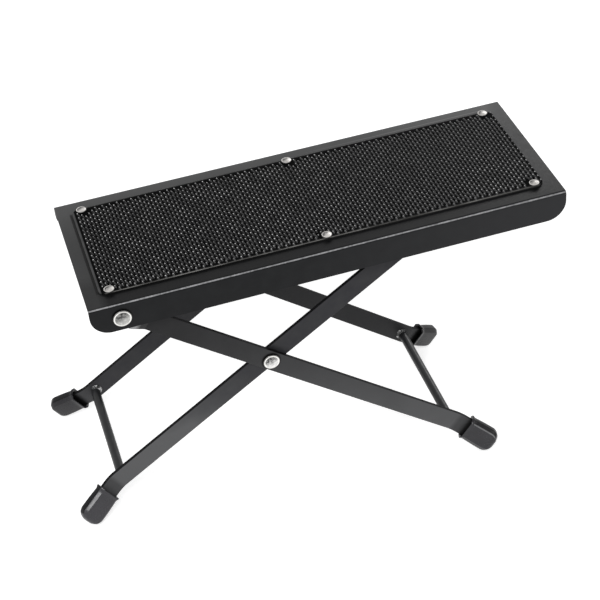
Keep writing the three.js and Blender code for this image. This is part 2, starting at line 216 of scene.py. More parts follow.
# Surfaces. "tone" has the size and detail of the noise that mixes two colours, and where in it the first
# ends and the second begins. "rough" has the size and detail of a noise, and the roughness at its ends.
# "grain" has the size, detail and depth of each relief. PLAIN_LOOK has what a look leaves out.
PLAIN_LOOK = {"specular": 0.5, "metallic": 0}
PAINT_LOOK = {"tone": (9, 3, 0.35, 0.65), "grain": ((0.9, 2, 0.03), (0.35, 3, 0.01))}
BOOT_LOOK = {
    "tone": (7, 4, 0.35, 0.65),
    "rough": (2.2, 4, 0.22, 0.3),
    "grain": ((1.8, 3, 0.01), (0.3, 2, 0.004)),
}
NICKEL_LOOK = {"tone": (3, 3, 0.4, 0.6), "grain": ((1.3, 2, 0.08), (0.35, 3, 0.02)), "metallic": 1}
LOOKS = {
    "tray_paint": {
        **PAINT_LOOK,
        "colours": ((0.0035, 0.0038, 0.0045), (0.0065, 0.007, 0.0078)),
        "rough": (2.5, 4, 0.3, 0.42),
        "specular": 0.14,
    },
    "leg_paint": {**PAINT_LOOK, "rough": (2.5, 4, 0.36, 0.48), "specular": 0.18},
    # The legs' cut edges: the same paint made darker as painted shade
    "cut_edge_shade": {
        **PAINT_LOOK,
        "colours": ((0.003, 0.003, 0.0035), (0.006, 0.006, 0.0065)),
        "rough": (2.5, 4, 0.49, 0.61),
        "specular": 0.06,
    },
    "rod_paint": {
        **PAINT_LOOK,
        "colours": ((0.014, 0.0145, 0.0155), (0.022, 0.0225, 0.024)),
        "rough": (2.5, 4, 0.28, 0.4),
        "specular": 0.22,
    },
    # The weld's bright spots are partly bare metal and partly a painted glint
    "weld_paint": {
        "colours": ((0.01, 0.0105, 0.011), (0.6, 0.6, 0.6)),
        "tone": (2.4, 2, 0.53, 0.62),
        "rough": (0.8, 2, 0.16, 0.36),
        "grain": ((0.6, 3, 0.1),),
    },
    # The ground between the studs is near black as painted shade in the pits
    "mat_ground": {
        "colours": ((0.0015, 0.0015, 0.0016), (0.003, 0.003, 0.0032)),
        "tone": (5, 4, 0.35, 0.65),
        "rough": (1.6, 3, 0.7, 0.9),
        "grain": ((0.4, 3, 0.04),),
        "specular": 0.02,
    },
    "mat_rubber": {
        "colours": ((0.009, 0.009, 0.0095), (0.022, 0.022, 0.0225)),
        "tone": (6, 3, 0.35, 0.65),
        "rough": (1.6, 3, 0.38, 0.55),
        "grain": ((0.4, 3, 0.03),),
        "specular": 0.2,
    },
    # Light stud tips: partly wear, partly a painted highlight
    "mat_tip_wear_and_highlight": {
        "colours": ((0.18, 0.18, 0.18), (0.9, 0.9, 0.895)),
        "tone": (7, 5, 0.38, 0.62),
        "rough": (1.2, 3, 0.24, 0.44),
        "grain": ((0.5, 2, 0.02),),
        "specular": 0.4,
    },
    # A painted highlight along the top edge of the mat's long sides
    "mat_edge_highlight": {
        "colours": ((0.035, 0.034, 0.032), (0.2, 0.197, 0.188)),
        "tone": (20, 4, 0.36, 0.6),
        "rough": (1.2, 3, 0.4, 0.6),
        "grain": ((0.5, 2, 0.02),),
        "specular": 0.2,
    },
    # The four boots are one rubber; their colours differ as painted light and shade, darkest at the rear right
    "boot_left_front": {
        **BOOT_LOOK,
        "colours": ((0.03, 0.029, 0.034), (0.038, 0.037, 0.043)),
        "specular": 0.38,
    },
    "boot_right_front": {
        **BOOT_LOOK,
        "colours": ((0.019, 0.0185, 0.0215), (0.025, 0.0245, 0.0285)),
        "specular": 0.38,
    },
    "boot_left_rear": {
        **BOOT_LOOK,
        "colours": ((0.011, 0.0105, 0.013), (0.015, 0.0145, 0.0175)),
        "specular": 0.28,
    },
    "boot_right_rear": {
        **BOOT_LOOK,
        "colours": ((0.004, 0.004, 0.005), (0.007, 0.007, 0.008)),
        "specular": 0.22,
    },
    # Painted shade on the boots' narrow sides and slants, and a painted highlight on an upper front edge
    "boot_sides_shade": {
        **BOOT_LOOK,
        "colours": ((0.005, 0.005, 0.006), (0.009, 0.009, 0.01)),
        "specular": 0.1,
    },
    "boot_slant_shade": {
        **BOOT_LOOK,
        "colours": ((0.01, 0.01, 0.011), (0.017, 0.017, 0.018)),
        "specular": 0.15,
    },
    "boot_edge_highlight": {
        **BOOT_LOOK,
        "colours": ((0.13, 0.13, 0.134), (0.18, 0.18, 0.185)),
        "specular": 0.38,
    },
    # The crossing and pivot rivets are the same nickel; the pivot's darker colours are a painted darker reflection
    "crossing_nickel": {
        **NICKEL_LOOK,
        "colours": ((0.6, 0.6, 0.59), (0.84, 0.835, 0.82)),
        "rough": (0.9, 4, 0.168, 0.312),
    },
    "pivot_nickel": {
        **NICKEL_LOOK,
        "colours": ((0.36, 0.36, 0.35), (0.52, 0.52, 0.5)),
        "rough": (0.9, 4, 0.168, 0.312),
    },
    "mat_nickel": {
        **NICKEL_LOOK,
        "colours": ((0.42, 0.405, 0.39), (0.58, 0.56, 0.54)),
        "rough": (0.9, 4, 0.315, 0.585),
    },
    "plain_steel": {
        "colours": ((0.4, 0.4, 0.41), (0.58, 0.58, 0.6)),
        "tone": (1.5, 3, 0.35, 0.65),
        "rough": (0.7, 3, 0.3, 0.5),
        "grain": ((0.5, 3, 0.03),),
        "metallic": 1,
    },
}

# Colours laid over those surfaces
TRAY_RIGHT_PAINTED_LIGHT = (0.0285, 0.0287, 0.031)
TRAY_TOP_PAINTED_SHADE = (0.002, 0.002, 0.0023)
TRAY_DUST_AND_LIGHT = (0.045, 0.0455, 0.046)
TRAY_PAINTED_SHEEN = (0.13, 0.131, 0.132)
MAT_END_DARK_LINE = (0.001, 0.001, 0.001)
RIVET_RING_SHADE = (0.002, 0.002, 0.002)
WORN_LIT_FOLD = (0.38, 0.38, 0.39)
LEG_DUST_AND_LIGHT = (0.103, 0.104, 0.107)
SPLAY_PAINTED_SHADE = (0.047, 0.047, 0.049)
BOOT_MOUTH_SHADE = (0.003, 0.003, 0.003)
JOGGLE_PAINTED_HIGHLIGHT = (0.4, 0.4, 0.404)
WELD_COAT = (0.012, 0.0125, 0.013)
MAT_RIM = (0.11, 0.11, 0.111)
MAT_FRONT_LIGHTER = (0.03, 0.03, 0.0305)
FLANKS_RIGHT_GREY = (0.036, 0.036, 0.0365)
FLANKS_FRONT_GREY = (0.07, 0.07, 0.0705)
FAINT_TIPS = (0.06, 0.06, 0.06)
NICKEL_FACE = (0.3, 0.297, 0.285)
NICKEL_DARK_REFLECTION = (0.15, 0.149, 0.145)
NICKEL_TARNISH_AND_REFLECTION = (0.04, 0.04, 0.04)
NICKEL_RIM_HIGHLIGHT = (0.92, 0.91, 0.88)
NICKEL_FOOT_SHADE = (0.03, 0.03, 0.03)

# Nickel: shares of the head's radius for its face, its side with a painted dark reflection, its rim with a
# painted highlight and its foot with painted shade, and shares of their colours
NICKEL_FACE_END = (0.72, 0.82)
NICKEL_DARK_REFLECTION_SIDE = (-0.25, 0.4)
NICKEL_RIM_START = (0.78, 0.84)
NICKEL_FOOT_START = (0.88, 0.94)
NICKEL_SHARES = {
    "crossing": {"dark_reflection": 0.4, "rim": 0.9},
    "pivot": {"dark_reflection": 0.6, "rim": 0.9},
    "mat": {"dark_reflection": 0.5, "rim": 0.15},
}

# Floor, surroundings, and lamps with their place, size and power in metres and watts
FLOOR_SIZE = 6
FLOOR_COLOUR = (0.82, 0.82, 0.82, 1)
FLOOR_ROUGHNESS = 0.9
FLOOR_GLOW = 0.58
AMBIENT_STRENGTH = 0.4
BACKDROP_STRENGTH = 1.0
WHITE = (1, 1, 1, 1)
LAMP_TARGET = (0, 0, 0.1)
LAMPS = {
    "key_front": ((-0.52, -0.9, 1.12), 0.45, 9.5),
    "fill_right": ((1.17, -0.64, 0.78), 0.25, 1.2),
    "fill_left": ((-1.3, -0.6, 0.9), 0.7, 3.5),
    "back_top": ((0.75, 0.95, 0.8), 0.5, 4.2),
}

# Camera, fitted to the photograph
CAMERA_PLACE = (-242.63, -768.78, 731.59)
CAMERA_TURN = (52.204, -1.027, -17.027)
CAMERA_LENS = 97.504
CAMERA_CLIP = 10


# Frames and measures

joints = {joint["name"]: joint for joint in frame["joints"]}
pivot = Vector(joints["platform_lift"]["pos_m"])
crossing = Vector(joints["legs_fold"]["pos_m"])
mount = frame["record"]["mounts"][0]


def frame_at(origin, along):
    """A frame with its x axis along a direction in the XZ plane and its y axis along +Y."""
    x = along.normalized()
    y = Vector((0, 1, 0))
    z = x.cross(y)
    matrix = Matrix((x, y, z)).transposed().to_4x4()
    matrix.translation = origin
    return matrix


def local_box(node, place):
    """Lowest and highest corner of a CAD node, measured in a frame."""
    inverse = place.inverted()
    points = [inverse @ vertex.co for vertex in frame["nodes"][node].data.vertices]
    low = Vector(min(point[axis] for point in points) for axis in range(3))
    high = Vector(max(point[axis] for point in points) for axis in range(3))
    return low, high


rod_low, rod_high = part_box("upper_rod")
tray_frame = frame_at(pivot, Vector(mount["axis"]).cross(Vector((0, -1, 0))))
outer_frame = frame_at(crossing, crossing - pivot)
inner_frame = frame_at(crossing, crossing - (rod_low + rod_high) / 2)


# Materials

class Shader:
    """A material under construction, with one Principled shader that has one of the looks."""

    def __init__(self, name, look, **changes):
        values = {**PLAIN_LOOK, **LOOKS[look], **changes}
        self.material = bpy.data.materials.new(name)
        self.material.use_nodes = True
        self.nodes = self.material.node_tree.nodes
        self.links = self.material.node_tree.links
        self.surface = self.nodes["Principled BSDF"]
        self.surface.inputs["Metallic"].default_value = values["metallic"]
        self.surface.inputs["Specular IOR Level"].default_value = values["specular"]
        self.place = self.nodes.new("ShaderNodeTexCoord").outputs["Object"]
        size, detail, start, end = values["tone"]
        self.colours(self.noise(size, detail), *values["colours"], start, end)
        size, detail, smoothest, roughest = values["rough"]
        roughness = self.spread(self.noise(size, detail), smoothest, roughest)
        self.links.new(roughness, self.surface.inputs["Roughness"])
        self.relief(values["grain"])

    def noise(self, size, detail, roughness=0.5):
        """Noise whose features are about a size, in millimetres, across."""
        node = self.nodes.new("ShaderNodeTexNoise")
        node.inputs["Scale"].default_value = 1 / (size * MM)
        node.inputs["Detail"].default_value = detail
        node.inputs["Roughness"].default_value = roughness
        self.links.new(self.place, node.inputs["Vector"])
        return node.outputs["Fac"]

    def spread(self, value, low, high, start=0.3, end=0.7):
        """Maps a value from start..end, where most of a noise lies, to low..high."""
        node = self.nodes.new("ShaderNodeMapRange")
        node.inputs["From Min"].default_value = start
        node.inputs["From Max"].default_value = end
        node.inputs["To Min"].default_value = low
        node.inputs["To Max"].default_value = high
        self.links.new(value, node.inputs["Value"])
        return node.outputs["Result"]

    def fade(self, value, low, high, reach, origin=0):
        """Maps a length to low..high over a reach, in millimetres from an origin in metres."""
        start, end = (origin + edge * MM for edge in reach)
        return self.spread(value, low, high, start, end)

    def wander(self, size, detail, reach):
        """Noise from minus to plus a reach, in millimetres."""
        return self.spread(self.noise(size, detail), -reach * MM, reach * MM)

    def colours(self, value, first, second, start, end):
        """Mixes two colours by a value that runs from a start to an end."""
        node = self.nodes.new("ShaderNodeValToRGB")
        low, high = node.color_ramp.elements
        low.position, high.position = start, end
        low.color = (*first, 1)
        high.color = (*second, 1)
        self.links.new(value, node.inputs["Fac"])
        self.paint(node.outputs["Color"])

    def paint(self, colour):
        """Makes a colour the present one."""
        self.colour = colour
        self.links.new(colour, self.surface.inputs["Base Color"])

    def over(self, share, colour):
        """Lays a plain colour over the present one, by a share from 0 to 1."""
        node = self.nodes.new("ShaderNodeMix")
        node.data_type = "RGBA"
        sockets = {socket.identifier: socket for socket in node.inputs}
        sockets["B_Color"].default_value = (*colour, 1)
        self.links.new(share, sockets["Factor_Float"])
        self.links.new(self.colour, sockets["A_Color"])
        outputs = {socket.identifier: socket for socket in node.outputs}
        self.paint(outputs["Result_Color"])

    def math(self, operation, first, second=0.0):
        """A sum, power or the like of two values, each a socket or a number."""
        node = self.nodes.new("ShaderNodeMath")
        node.operation = operation
        for socket, value in zip(node.inputs, (first, second)):
            if isinstance(value, (int, float)):
                socket.default_value = value
            else:
                self.links.new(value, socket)
        return node.outputs["Value"]

    def product(self, first, *others):
        """The product of values, each a socket or a number."""
        for other in others:
            first = self.math("MULTIPLY", first, other)
        return first

    def distance(self, across, axes):
        """Distance from the third axis of a frame, given the other two."""
        squares = [self.product(across[axis], across[axis]) for axis in axes]
        return self.math("SQRT", self.math("ADD", *squares))

    def axes(self, place):
        """The surface point's x, y and z in a frame, in metres."""
        back = place.inverted()
        turn = self.nodes.new("ShaderNodeMapping")
        turn.inputs["Location"].default_value = back.translation
        turn.inputs["Rotation"].default_value = back.to_euler()
        split = self.nodes.new("ShaderNodeSeparateXYZ")
        self.links.new(self.place, turn.inputs["Vector"])
        self.links.new(turn.outputs["Vector"], split.inputs["Vector"])
        return split.outputs

    def relief(self, grains):
        """Adds relief of each grain's size, detail and depth, in millimetres, one over the other."""
        normal = None
        for size, detail, depth in grains:
            node = self.nodes.new("ShaderNodeBump")
            node.inputs["Distance"].default_value = depth * MM
            self.links.new(self.noise(size, detail), node.inputs["Height"])
            if normal:
                self.links.new(normal, node.inputs["Normal"])
            normal = node.outputs["Normal"]
        self.links.new(normal, self.surface.inputs["Normal"])


def plain(name):
    """A material that is one of the looks as it stands."""
    return Shader(name, name).material


def shade_round_rivet(shader, across, rivet):
    """Lays a ring of painted shade round a rivet head whose axis is the y axis of the frame."""
    reach = shader.distance(across, "XZ")
    start, end = ((SHADE_RING_RADIUS[rivet] + edge) * MM for edge in SHADE_RING_FADE)
    shader.over(shader.spread(reach, 0.95, 0, start, end), RIVET_RING_SHADE)


def tray_paint():
    """Smooth black paint, dusty on top save at the front, worn at the folds, with painted light and shade."""
    shader = Shader("tray_paint", "tray_paint")
    high = local_box("tray", tray_frame)[1]
    mat_low, mat_high = local_box("mat", tray_frame)
    across = shader.axes(tray_frame)
    # Painted light: the tray lighter towards its right end
    shader.over(shader.fade(across["X"], 0, 0.75, TRAY_LIGHTER), TRAY_RIGHT_PAINTED_LIGHT)
    top = shader.fade(across["Z"], 0, 0.9, TRAY_TOP, high.z)
    # Painted shade: the top faces darker than the flanges
    shader.over(top, TRAY_TOP_PAINTED_SHADE)
    # Dust with painted light on the top, less at the front and at the right end
    from_front = shader.fade(across["Y"], 0.04, 1, DUST_AND_LIGHT_FROM_FRONT)
    from_left = shader.fade(across["X"], 0.55, 0, DUST_AND_LIGHT_FROM_LEFT)
    to_right = shader.fade(across["X"], 1, 0.3, DUST_AND_LIGHT_TO_RIGHT)
    patches = shader.spread(shader.noise(25, 4), 0.8, 1.0)
    dust_and_light = shader.product(shader.math("MAXIMUM", from_front, from_left), to_right, patches, top)
    shader.over(dust_and_light, TRAY_DUST_AND_LIGHT)
    # Painted sheen on the top towards the back right
    to_back = shader.fade(across["Y"], 0, 1, SHEEN_TO_BACK)
    to_right = shader.fade(across["X"], 0.33, 0.55, SHEEN_TO_RIGHT)
    past_end = shader.fade(across["X"], 1, 0.5, SHEEN_END)
    shader.over(shader.product(to_back, to_right, past_end, top), TRAY_PAINTED_SHEEN)
    started = shader.fade(across["X"], 0, 1, LINES_START)
    ended = shader.fade(across["X"], 1, 0, LINES_END)
    lined = shader.product(started, ended, top)
    for reach, grey in BACK_LINES:
        off = shader.math("ABSOLUTE", shader.math("ADD", across["Y"], -(mat_high.y + reach * MM)))
        line = shader.product(shader.fade(off, 0.6, 0, LINE_WIDTH), lined)
        shader.over(line, (grey, grey, grey))
    # A dark line on the tray along the mat's left end
    outward = shader.fade(across["X"], 0, 1, DARK_LINE_START, mat_low.x)
    sideward = shader.fade(shader.math("ABSOLUTE", across["Y"]), 1, 0, DARK_LINE_SIDES)
    inward = shader.fade(across["X"], 1, 0, DARK_LINE_END, mat_low.x)
    shader.over(shader.product(outward, sideward, inward), MAT_END_DARK_LINE)
    # Painted shade round the pivot rivet
    shade_round_rivet(shader, across, "pivot")
    # Paint worn along the two folds, with a painted highlight
    fold = shader.math("ADD", shader.math("ABSOLUTE", across["Y"]), across["Z"])
    fold = shader.math("ADD", fold, shader.wander(14, 3, FOLD_WANDER))
    worn_and_lit = shader.fade(fold, 0, 1, FOLD_WEAR_AND_HIGHLIGHT, high.y + high.z)
    streaks = shader.spread(shader.noise(1.6, 4), 0.4, 1.0)
    shader.over(shader.product(worn_and_lit, streaks), WORN_LIT_FOLD)
    return shader.material


def leg_paint(name, boot_frame, mouth):
    """The same paint on a leg, with dust and painted light towards the foot and painted shade at its boot."""
    finish = LEG_FINISH[name]
    coat = finish["coat"]
    dark = (0.85 * coat, 0.85 * coat, coat)
    light = (1.15 * coat, 1.15 * coat, 1.25 * coat)
    shader = Shader(name + "_paint", "leg_paint", colours=(dark, light))
    # Dust with painted light, more towards the floor and less on the rear legs
    height = shader.math("ADD", shader.axes(Matrix())["Z"], shader.wander(30, 3, DUST_AND_LIGHT_WANDER))
    dust_and_light = shader.fade(height, finish["dust_and_light"], 0, DUST_AND_LIGHT_HEIGHTS)
    shader.over(shader.math("POWER", dust_and_light, finish["fade"]), LEG_DUST_AND_LIGHT)
    along = shader.axes(boot_frame)["X"]
    # Painted shade on the splayed feet of the front legs
    if name.endswith("front"):
        shader.over(shader.fade(along, 0, 0.85, SPLAY_SHADE, mouth), SPLAY_PAINTED_SHADE)
    # Painted shade on the leg where it enters its boot
    ragged = shader.math("ADD", along, shader.wander(2, 3, MOUTH_WANDER))
    mouth_shade = shader.math("POWER", shader.fade(ragged, 0, 1, MOUTH_SHADE_REACH, mouth), 2.2)
    shader.over(shader.product(mouth_shade, finish["mouth_shade"]), BOOT_MOUTH_SHADE)
    # Painted highlight on the outer legs below the pivot, where the strip is joggled
    if name.startswith("outer"):
        past = shader.axes(frame_at(pivot, crossing - pivot))["X"]
        joggle_highlight = shader.product(shader.fade(past, 0, 1, JOGGLE_HIGHLIGHT_START), shader.fade(past, 1, 0, JOGGLE_HIGHLIGHT_END))
        shader.over(joggle_highlight, JOGGLE_PAINTED_HIGHLIGHT)
    # Painted shade round the crossing rivet
    shade_round_rivet(shader, shader.axes(outer_frame), "crossing")
    return shader.material


def weld_paint(name, place, middle):
    """Paint over a weld bead, with bright spots away from the foot, partly bare metal and partly painted glint."""
    shader = Shader(name, "weld_paint")
    shader.over(shader.fade(shader.axes(place)["X"], 0, 0.95, WELD_FOOT_SIDE, middle), WELD_COAT)
    return shader.material


def mat_ground():
    """Rubber between the studs, near black as painted shade in the pits, lighter along its left and back rim."""
    shader = Shader("mat_ground", "mat_ground")
    low, high = local_box("mat", tray_frame)
    across = shader.axes(tray_frame)
    end = shader.fade(across["X"], 0.9, 0, MAT_END_RIM, low.x + STUD_END_GAPS[0] * MM)
    back = shader.fade(across["Y"], 0, 0.4, MAT_BACK_RIM, high.y - STUD_BACK_GAP * MM)
    patches = shader.spread(shader.noise(14, 3), 0.5, 1)
    shader.over(shader.product(shader.math("MAXIMUM", end, back), patches), MAT_RIM)
    # Lighter towards the front on the right
    front = shader.fade(across["Y"], 0.9, 0, MAT_FRONT, low.y)
    rightward = shader.fade(across["X"], 0.2, 1, MAT_FRONT_RIGHT)
    shader.over(shader.product(front, rightward), MAT_FRONT_LIGHTER)
    return shader.material


def mat_rubber():
    """Black rubber on the flanks of the studs, with a slight shine, greyer to the right and the front."""
    shader = Shader("mat_rubber", "mat_rubber")
    across = shader.axes(tray_frame)
    shader.over(shader.fade(across["X"], 0, 0.5, FLANKS_RIGHT), FLANKS_RIGHT_GREY)
    shader.over(shader.fade(across["Y"], 0.7, 0, FLANKS_FRONT), FLANKS_FRONT_GREY)
    return shader.material


def mat_tip_wear_and_highlight():
    """The same rubber, light on the stud tips, partly wear and partly painted highlight, less so to the right."""
    shader = Shader("mat_tip_wear_and_highlight", "mat_tip_wear_and_highlight")
    across = shader.axes(tray_frame)
    # The tips fainter to the right, except towards the front of the right end
    faint = shader.fade(across["X"], 0.1, 0.65, TIPS_RIGHT)
    corner = shader.product(
        shader.fade(across["X"], 0, 1, TIPS_CORNER_X),
        shader.fade(across["Y"], 0.7, 0, TIPS_CORNER_Y),
    )
    shader.over(shader.product(faint, shader.math("SUBTRACT", 1, corner)), FAINT_TIPS)
    return shader.material


def nickel(name, place, radius, dark_reflection_side, kind):
    """Nickel with painted reflections: a bright rim round a face that is mottled and darker towards one side."""
    shader = Shader(name, kind + "_nickel")
    across = shader.axes(place)
    reach = shader.distance(across, "XY")
    ends = (NICKEL_FACE_END, NICKEL_DARK_REFLECTION_SIDE, NICKEL_RIM_START, NICKEL_FOOT_START)
    face_end, side_end, rim_start, foot_start = ([share * radius for share in pair] for pair in ends)
    face = shader.spread(reach, 1, 0, *face_end)
    lean = [shader.product(across[axis], share) for axis, share in zip("XY", dark_reflection_side)]
    side = shader.spread(shader.math("ADD", *lean), 0, 1, *side_end)
    mottle = shader.spread(shader.noise(1.3, 4, 0.65), 0.1, 1.0, 0.4, 0.54)
    dark_reflected = shader.product(face, side)
    # Painted reflections: a darker face, darker and mottled towards one side, a bright rim and a shaded foot
    shader.over(shader.product(face, 0.15), NICKEL_FACE)
    shader.over(shader.product(dark_reflected, NICKEL_SHARES[kind]["dark_reflection"]), NICKEL_DARK_REFLECTION)
    shader.over(shader.product(dark_reflected, mottle), NICKEL_TARNISH_AND_REFLECTION)
    shader.over(shader.spread(reach, 0, NICKEL_SHARES[kind]["rim"], *rim_start), NICKEL_RIM_HIGHLIGHT)
    shader.over(shader.spread(reach, 0, 0.9, *foot_start), NICKEL_FOOT_SHADE)
    return shader.material


TRAY_PAINT = tray_paint()
CUT_EDGE_SHADE = plain("cut_edge_shade")
ROD_PAINT = plain("rod_paint")
MAT_GROUND = mat_ground()
MAT_RUBBER = mat_rubber()
MAT_TIP_WEAR_AND_HIGHLIGHT = mat_tip_wear_and_highlight()
MAT_EDGE_HIGHLIGHT = plain("mat_edge_highlight")
BOOT_PAINTED_LIGHT_AND_SHADE = [plain(name) for name in ("boot_sides_shade", "boot_slant_shade", "boot_edge_highlight")]
STEEL = plain("plain_steel")


# Building pieces

def object_of(name, builder, *materials, smooth_angle=SMOOTH_ANGLE):
    """Makes an object from a bmesh, smooth except at edges sharper than the angle, in degrees."""
    bmesh.ops.recalc_face_normals(builder, faces=builder.faces)
    mesh = bpy.data.meshes.new(name)
    builder.to_mesh(mesh)
    builder.free()
    if "custom_normal" in mesh.attributes:
        mesh.attributes.remove(mesh.attributes["custom_normal"])
    for material in materials:
        mesh.materials.append(material)
    mesh.shade_smooth()
    mesh.set_sharp_from_angle(angle=math.radians(smooth_angle))
    piece = bpy.data.objects.new(name, mesh)
    bpy.context.scene.collection.objects.link(piece)
    return piece


def settle(piece, body, slot, *nodes):
    """Lets a piece ride on its body in place of the CAD nodes that it stands for."""
    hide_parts(*nodes)
    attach(piece, body)
    return piece


def bevelled(piece, width):
    """Breaks a piece's sharp edges over a width, in millimetres."""
    bevel = piece.modifiers.new("edges", "BEVEL")
    bevel.width = width * MM
    bevel.segments = BEVEL_SEGMENTS
    bevel.limit_method = "ANGLE"
    bevel.angle_limit = math.radians(BEVEL_ANGLE)
    bevel.harden_normals = True
    return piece


def finished(node, body, material=TRAY_PAINT, slot="steel_paint", bevel=EDGE_BEVEL):
    """A copy of a CAD node's shape with broken edges, as sheet and bar have."""
    builder = bmesh.new()
    builder.from_mesh(frame["nodes"][node].data)
    bmesh.ops.remove_doubles(builder, verts=builder.verts, dist=MERGE_REACH * MM)
    flat = math.radians(FLAT_ANGLE)
    bmesh.ops.dissolve_limit(builder, angle_limit=flat, verts=builder.verts, edges=builder.edges)
    piece = bevelled(object_of(node + "_finished", builder, material), bevel)
    return settle(piece, body, slot, node)


def loft(name, rings, place, material, smooth_angle=SMOOTH_ANGLE):
    """A skin through rings of equal numbers of points, with its ends filled."""
    builder = bmesh.new()
    loops = [[builder.verts.new(place @ Vector(point)) for point in ring] for ring in rings]
    for first, second in zip(loops, loops[1:]):
        for i, (a, b) in enumerate(zip(first, second)):
            c, d = second[(i + 1) % len(second)], first[(i + 1) % len(first)]
            builder.faces.new((a, b, c, d))
    builder.faces.new(loops[0])
    builder.faces.new(loops[-1])
    return object_of(name, builder, material, smooth_angle=smooth_angle)


def turned(name, profile, place, material, sides):
    """A body turned about the z axis of a frame from (radius, height) points, in metres."""
    rings = []
    for radius, height in profile:
        reach = max(radius, POLE_RADIUS * MM)
        rings.append([
            (reach * math.cos(math.tau * i / sides), reach * math.sin(math.tau * i / sides), height)
            for i in range(sides)
        ])
    return loft(name, rings, place, material)


# Stage

def any_ray(tree, *kinds):
    """A value of 1 for rays of any of the kinds, else 0."""
    path = tree.nodes.new("ShaderNodeLightPath")
    found = path.outputs[kinds[0]]
    for kind in kinds[1:]:
        either = tree.nodes.new("ShaderNodeMath")
        either.operation = "MAXIMUM"
        tree.links.new(found, either.inputs[0])
        tree.links.new(path.outputs[kind], either.inputs[1])
        found = either.outputs[0]
    return found


def mixed(tree, share, first, second):
    """Mixes two shaders by a share from 0 to 1."""
    mix = tree.nodes.new("ShaderNodeMixShader")
    for socket, value in zip(mix.inputs, (share, first, second)):
        tree.links.new(value, socket)
    return mix.outputs[0]


def build_floor():
    """A pale floor that keeps the object's shadow and isn't seen from below."""
    bpy.ops.mesh.primitive_plane_add(size=FLOOR_SIZE, location=(0, 0, 0))
    floor = bpy.context.object
    floor.name = "floor"
    material = bpy.data.materials.new("floor_white")
    material.use_nodes = True
    tree = material.node_tree
    surface = tree.nodes["Principled BSDF"]
    surface.inputs["Base Color"].default_value = FLOOR_COLOUR
    surface.inputs["Roughness"].default_value = FLOOR_ROUGHNESS
    surface.inputs["Specular IOR Level"].default_value = 0.0
    glow = tree.nodes.new("ShaderNodeEmission")
    glow.inputs["Strength"].default_value = FLOOR_GLOW
    lit = tree.nodes.new("ShaderNodeAddShader")
    tree.links.new(surface.outputs[0], lit.inputs[0])
    tree.links.new(glow.outputs[0], lit.inputs[1])
    seen = any_ray(tree, "Is Camera Ray", "Is Glossy Ray")
    above = mixed(tree, seen, surface.outputs[0], lit.outputs[0])
    below = tree.nodes.new("ShaderNodeNewGeometry").outputs["Backfacing"]
    clear = tree.nodes.new("ShaderNodeBsdfTransparent").outputs[0]
    tree.links.new(mixed(tree, below, above, clear), tree.nodes["Material Output"].inputs["Surface"])
    floor.data.materials.append(material)


def build_world():
    """Surroundings that are white to the eye and light the object more dimly."""
    world = bpy.data.worlds.new("studio")
    bpy.context.scene.world = world
    world.use_nodes = True
    tree = world.node_tree
    ambient = tree.nodes["Background"]
    backdrop = tree.nodes.new("ShaderNodeBackground")
    for background, strength in ((ambient, AMBIENT_STRENGTH), (backdrop, BACKDROP_STRENGTH)):
        background.inputs["Color"].default_value = WHITE
        background.inputs["Strength"].default_value = strength
    seen = any_ray(tree, "Is Camera Ray", "Is Glossy Ray", "Is Transmission Ray")
    both = mixed(tree, seen, ambient.outputs[0], backdrop.outputs[0])
    tree.links.new(both, tree.nodes["World Output"].inputs["Surface"])


def build_lights():
    """Square lamps that face the object."""
    for name, (place, size, power) in LAMPS.items():
        lamp = bpy.data.lights.new(name, "AREA")
        lamp.size = size
        lamp.energy = power
        holder = bpy.data.objects.new(name, lamp)
        holder.location = place
        facing = Vector(LAMP_TARGET) - Vector(place)
        holder.rotation_euler = facing.to_track_quat("-Z", "Y").to_euler()
        bpy.context.scene.collection.objects.link(holder)


def build_camera():
    """The camera that sees the object as the photograph does."""
    camera = bpy.data.cameras.new("camera")
    camera.lens = CAMERA_LENS
    camera.clip_start = CAMERA_CLIP * MM
    holder = bpy.data.objects.new("camera", camera)
    holder.location = Vector(CAMERA_PLACE) * MM
    holder.rotation_euler = [math.radians(angle) for angle in CAMERA_TURN]
    bpy.context.scene.collection.objects.link(holder)
    bpy.context.scene.camera = holder


# Tray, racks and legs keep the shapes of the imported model

def build_steel():
    """The pieces of sheet and strip."""
    finished("tray", "platform")
    for side in SIDES:
        finished(f"rack_{side}", "platform")
        build_leg(f"outer_leg_{side}", f"right_boot_{side}", "outer_legs", outer_frame)
        build_leg(f"inner_leg_{side}", f"left_boot_{side}", "inner_legs", inner_frame)


def splayed_frame(leg_frame, node):
    """The frame of a leg's splayed foot end, for the leg, or the boot, on that side."""
    turn = -FOOT_SPLAY if node.endswith("front") else FOOT_SPLAY
    return leg_frame @ Matrix.Rotation(math.radians(turn), 4, "Z")


def build_leg(node, boot, body, leg_frame):
    """A leg strip whose cut edges are a darker black than its faces, as painted shade."""
    foot = splayed_frame(leg_frame, node)
    mouth = local_box(boot, foot)[0].x
    piece = finished(node, body, leg_paint(node, foot, mouth))
    piece.data.materials.append(CUT_EDGE_SHADE)
    across = (leg_frame.inverted() @ piece.matrix_world).to_3x3()
    for face in piece.data.polygons:
        if abs((across @ face.normal).z) > CUT_EDGE_LEAN:
            face.material_index = 1


def build_rod(node, body, place):
    """A round bar along the y axis of a frame, with chamfered ends."""
    low, high = local_box(node, place)
    middle = (low + high) / 2
    radius = (high.x - low.x) / 2
    half = (high.y - low.y) / 2
    chamfer = ROD_CHAMFER * MM
    profile = [
        (0, -half), (radius - chamfer, -half), (radius, -half + chamfer),
        (radius, half - chamfer), (radius - chamfer, half), (0, half),
    ]
    along_y = Matrix.Rotation(math.radians(-90), 4, "X")
    spot = place @ Matrix.Translation(middle) @ along_y
    piece = turned(node + "_round", profile, spot, ROD_PAINT, ROD_SIDES)
    settle(piece, body, "steel_paint", node)


